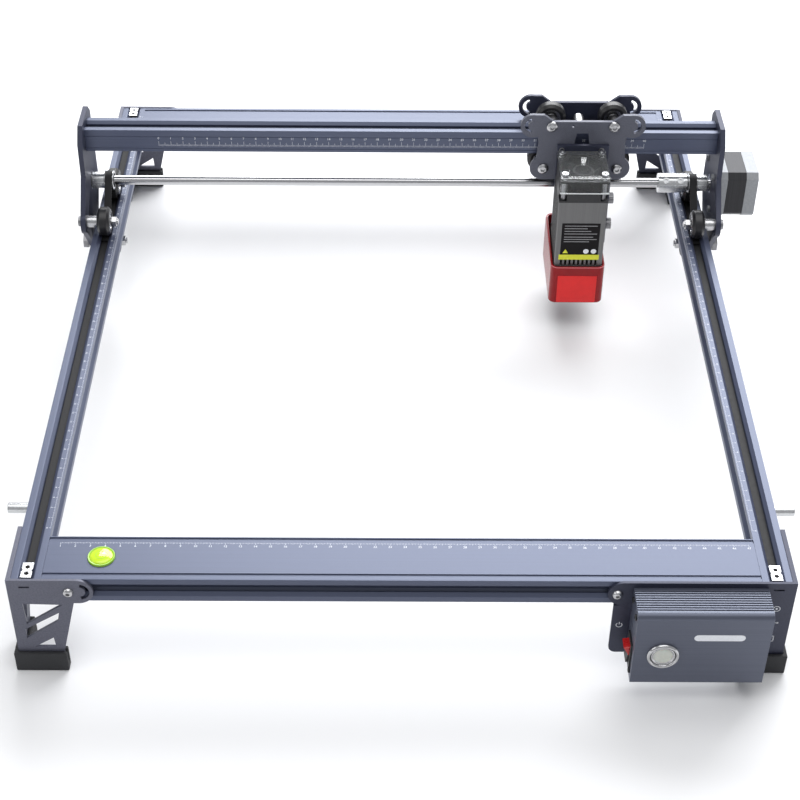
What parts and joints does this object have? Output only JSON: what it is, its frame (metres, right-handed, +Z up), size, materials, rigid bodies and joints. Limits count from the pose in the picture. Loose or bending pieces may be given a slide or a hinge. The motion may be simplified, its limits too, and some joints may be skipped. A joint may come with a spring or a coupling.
{
  "type": "desktop laser cutter",
  "caption": "Open-frame desktop laser cutter: slotted rails on a lattice-legged frame, belt-driven gantry and carriage, and a height-adjustable laser head with a red hood.",
  "frame": {"origin": "on the table, under the middle of the whole machine's box at rest", "axes": "+X to the right along the gantry beam, +Y from the front beam to the rear beam, +Z up"},
  "size_m": [0.569, 0.6396, 0.1837],
  "materials": {
    "anodised": "satin anodised slate blue",
    "slate": "satin",
    "board": "matt",
    "rubber": "matt",
    "belt": "matt",
    "wheel": "moulded",
    "steel": "bright",
    "polished": "polished",
    "black": "moulded",
    "motor": "dark laminations between light caps",
    "gunmetal": "anodised dark grey",
    "level": "clear tinted",
    "button": "translucent white",
    "red": "gloss",
    "hood": "translucent red, glossy",
    "clear": "clear sheet",
    "white": "nylon"
  },
  "bodies": {
    "frame": {"left_rail": "anodised", "right_rail": "anodised", "front_beam": "anodised", "rear_beam": "anodised", "front_left_bracket": "slate", "front_right_bracket": "slate", "rear_left_bracket": "slate", "rear_right_bracket": "slate", "feet": "rubber", "frame_bolts": "steel", "bubble_level": "level", "y_belts": "belt", "belt_clamps": "steel", "stop_pins": "steel", "box_shell": "slate", "box_ends": "slate", "control_board": "board", "button_bezel": "polished", "switch_housing": "black", "box_ports": "black"},
    "start_button": {"start_button": "button"},
    "power_rocker": {"power_rocker": "red"},
    "gantry": {"x_beam": "anodised", "left_gantry_plate": "slate", "right_gantry_plate": "slate", "gantry_axles": "steel", "y_motor": "motor", "shaft_bearings": "steel", "gantry_belts": "belt"},
    "drive_shaft": {"sync_shaft": "polished", "motor_shaft": "polished", "shaft_coupler": "steel", "drive_pulleys": "steel"},
    "left_front_wheel": {"left_front_wheel": "wheel"},
    "left_rear_wheel": {"left_rear_wheel": "wheel"},
    "left_lower_wheel": {"left_lower_wheel": "wheel"},
    "right_front_wheel": {"right_front_wheel": "wheel"},
    "right_rear_wheel": {"right_rear_wheel": "wheel"},
    "right_lower_wheel": {"right_lower_wheel": "wheel"},
    "carriage": {"carriage_front_plate": "slate", "carriage_rear_plate": "slate", "carriage_axles": "steel", "x_belt_loop": "belt", "x_motor": "motor", "laser_bracket": "slate"},
    "upper_left_wheel": {"upper_left_wheel": "wheel"},
    "upper_right_wheel": {"upper_right_wheel": "wheel"},
    "bottom_left_wheel": {"bottom_left_wheel": "wheel"},
    "bottom_right_wheel": {"bottom_right_wheel": "wheel"},
    "x_pulley": {"x_pulley": "steel"},
    "laser_head": {"heat_sink": "gunmetal", "diode_block": "gunmetal", "lens_barrel": "steel", "fan_frame": "black", "clear_cover": "clear", "cover_screws": "white", "red_hood": "hood"},
    "fan_rotor": {"fan_rotor": "black"},
    "upper_thumb_screw": {"upper_thumb_screw": "steel"},
    "lower_thumb_screw": {"lower_thumb_screw": "steel"}
  },
  "joints": [
    {"name": "gantry_slide", "type": "slide", "parent": "frame", "child": "gantry", "axis": [0, 1, 0], "range_m": [-0.32, 0.103]},
    {"name": "button_press", "type": "slide", "parent": "frame", "child": "start_button", "axis": [0, 1, 0], "range_m": [0, 0.0015], "stiffness_N_per_m": 800, "springref_m": -0.0005},
    {"name": "rocker_tilt", "type": "hinge", "parent": "frame", "child": "power_rocker", "pos_m": [0.1425, -0.30525, 0.0365], "axis": [0, 1, 0], "range_deg": [0, 18]},
    {"name": "shaft_spin", "type": "hinge", "parent": "gantry", "child": "drive_shaft", "pos_m": [-0.0125, 0.15525, 0.1074], "axis": [1, 0, 0], "range_deg": [-2881.09, 928.03]},
    {"name": "left_front_wheel_spin", "type": "hinge", "parent": "gantry", "child": "left_front_wheel", "pos_m": [-0.2585, 0.11275, 0.09385], "axis": [1, 0, 0], "range_deg": [-573.96, 1781.06]},
    {"name": "left_rear_wheel_spin", "type": "hinge", "parent": "gantry", "child": "left_rear_wheel", "pos_m": [-0.2585, 0.17275, 0.09385], "axis": [1, 0, 0], "range_deg": [-573.96, 1781.06]},
    {"name": "left_lower_wheel_spin", "type": "hinge", "parent": "gantry", "child": "left_lower_wheel", "pos_m": [-0.2585, 0.14275, 0.05415], "axis": [1, 0, 0], "range_deg": [-1781.06, 573.96]},
    {"name": "right_front_wheel_spin", "type": "hinge", "parent": "gantry", "child": "right_front_wheel", "pos_m": [0.2335, 0.11275, 0.09385], "axis": [1, 0, 0], "range_deg": [-573.96, 1781.06]},
    {"name": "right_rear_wheel_spin", "type": "hinge", "parent": "gantry", "child": "right_rear_wheel", "pos_m": [0.2335, 0.17275, 0.09385], "axis": [1, 0, 0], "range_deg": [-573.96, 1781.06]},
    {"name": "right_lower_wheel_spin", "type": "hinge", "parent": "gantry", "child": "right_lower_wheel", "pos_m": [0.2335, 0.14275, 0.05415], "axis": [1, 0, 0], "range_deg": [-1781.06, 573.96]},
    {"name": "carriage_slide", "type": "slide", "parent": "gantry", "child": "carriage", "axis": [1, 0, 0], "range_m": [-0.348, 0.052]},
    {"name": "upper_left_wheel_spin", "type": "hinge", "parent": "carriage", "child": "upper_left_wheel", "pos_m": [0.1099, 0.15525, 0.17155], "axis": [0, 1, 0], "range_deg": [-1936.82, 290.26]},
    {"name": "upper_right_wheel_spin", "type": "hinge", "parent": "carriage", "child": "upper_right_wheel", "pos_m": [0.1607, 0.15525, 0.17155], "axis": [0, 1, 0], "range_deg": [-1936.82, 290.26]},
    {"name": "bottom_left_wheel_spin", "type": "hinge", "parent": "carriage", "child": "bottom_left_wheel", "pos_m": [0.1048, 0.15525, 0.13185], "axis": [0, 1, 0], "range_deg": [-290.26, 1936.82]},
    {"name": "bottom_right_wheel_spin", "type": "hinge", "parent": "carriage", "child": "bottom_right_wheel", "pos_m": [0.1658, 0.15525, 0.13185], "axis": [0, 1, 0], "range_deg": [-290.26, 1936.82]},
    {"name": "x_pulley_spin", "type": "hinge", "parent": "carriage", "child": "x_pulley", "pos_m": [0.1353, 0.15525, 0.12145], "axis": [0, 1, 0], "range_deg": [-3133.1, 469.01]},
    {"name": "height_slide", "type": "slide", "parent": "carriage", "child": "laser_head", "axis": [0, 0, 1], "range_m": [-0.01, 0.01]},
    {"name": "fan_spin", "type": "hinge", "parent": "laser_head", "child": "fan_rotor", "pos_m": [0.1353, 0.11525, 0.133], "axis": [0, 0, 1], "continuous": true},
    {"name": "upper_thumb_screw_turn", "type": "hinge", "parent": "laser_head", "child": "upper_thumb_screw", "pos_m": [0.1553, 0.11675, 0.117], "axis": [1, 0, 0], "range_deg": [-360, 360]},
    {"name": "lower_thumb_screw_turn", "type": "hinge", "parent": "laser_head", "child": "lower_thumb_screw", "pos_m": [0.1553, 0.11675, 0.092], "axis": [1, 0, 0], "range_deg": [-360, 360]}
  ],
  "couplings": [
    {"joint": "shaft_spin", "follows": "gantry_slide", "rad_per_m": 157.08},
    {"joint": "left_front_wheel_spin", "follows": "gantry_slide", "rad_per_m": -97.087},
    {"joint": "left_rear_wheel_spin", "follows": "gantry_slide", "rad_per_m": -97.087},
    {"joint": "left_lower_wheel_spin", "follows": "gantry_slide", "rad_per_m": 97.087},
    {"joint": "right_front_wheel_spin", "follows": "gantry_slide", "rad_per_m": -97.087},
    {"joint": "right_rear_wheel_spin", "follows": "gantry_slide", "rad_per_m": -97.087},
    {"joint": "right_lower_wheel_spin", "follows": "gantry_slide", "rad_per_m": 97.087},
    {"joint": "upper_left_wheel_spin", "follows": "carriage_slide", "rad_per_m": 97.087},
    {"joint": "upper_right_wheel_spin", "follows": "carriage_slide", "rad_per_m": 97.087},
    {"joint": "bottom_left_wheel_spin", "follows": "carriage_slide", "rad_per_m": -97.087},
    {"joint": "bottom_right_wheel_spin", "follows": "carriage_slide", "rad_per_m": -97.087},
    {"joint": "x_pulley_spin", "follows": "carriage_slide", "rad_per_m": 157.08}
  ]
}
